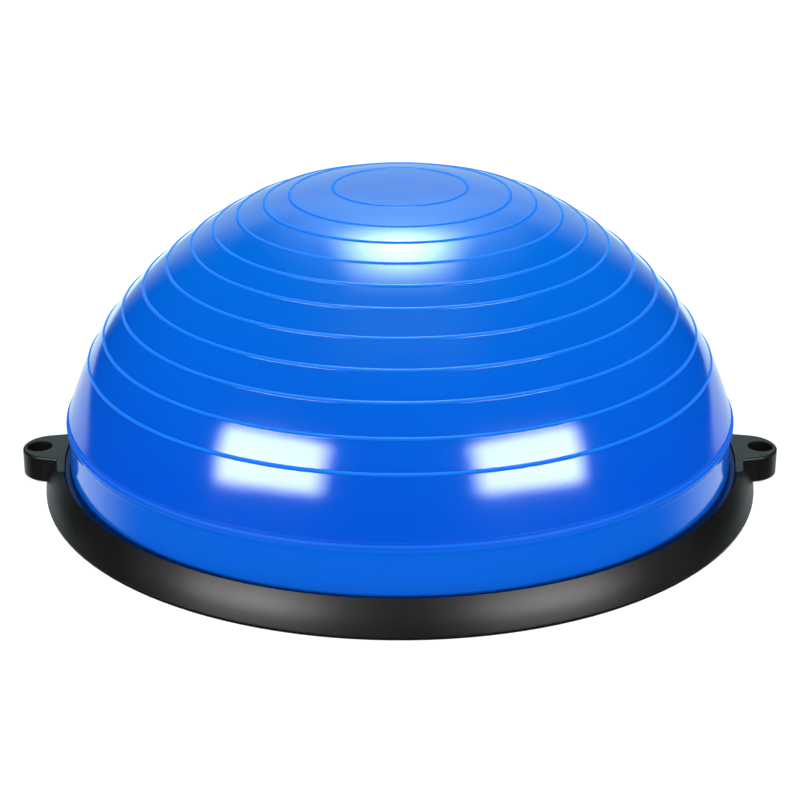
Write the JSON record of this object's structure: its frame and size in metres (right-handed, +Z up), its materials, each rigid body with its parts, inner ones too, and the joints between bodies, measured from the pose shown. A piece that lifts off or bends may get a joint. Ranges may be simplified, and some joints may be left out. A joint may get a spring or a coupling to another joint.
{
  "type": "balance dome trainer",
  "caption": "Air-filled half-ball dome with raised ribs, clamped by a rounded rim onto a rigid round base with two side lugs holed for exercise bands, and a pull-out air plug.",
  "frame": {"origin": "on the floor under the middle of the round base", "axes": "+Z up through the dome; +X through the right band lug; +Y towards the air valve at the back"},
  "size_m": [0.623, 0.5798, 0.246],
  "materials": {
    "dome_pvc": "smooth glossy blue PVC with thin raised ribs",
    "valve_pvc": "soft satin blue PVC",
    "plug_plastic": "semi-soft black plastic",
    "black_plastic": "satin black moulded plastic with a fine grain",
    "deck_plastic": "matt black moulded plastic",
    "platform_plastic": "matt black moulded plastic with a leather-like grain",
    "screw_steel": "black zinc plated steel",
    "pad_rubber": "matt black rubber"
  },
  "bodies": {
    "base": {"dome": "dome_pvc", "valve_seat": "valve_pvc", "rim": "black_plastic", "deck": "deck_plastic", "platform": "platform_plastic", "lug_right": "black_plastic", "lug_left": "black_plastic", "rim_screws": "screw_steel", "lug_screws": "screw_steel", "foot_pad_1": "pad_rubber", "foot_pad_2": "pad_rubber", "foot_pad_3": "pad_rubber", "foot_pad_4": "pad_rubber", "foot_pad_5": "pad_rubber", "foot_pad_6": "pad_rubber", "foot_pad_7": "pad_rubber", "foot_pad_8": "pad_rubber"},
    "plug": {"air_plug": "plug_plastic"}
  },
  "joints": [
    {"name": "plug_pull", "type": "slide", "parent": "base", "child": "plug", "axis": [0, 1, 0], "range_m": [0, 0.03]}
  ]
}
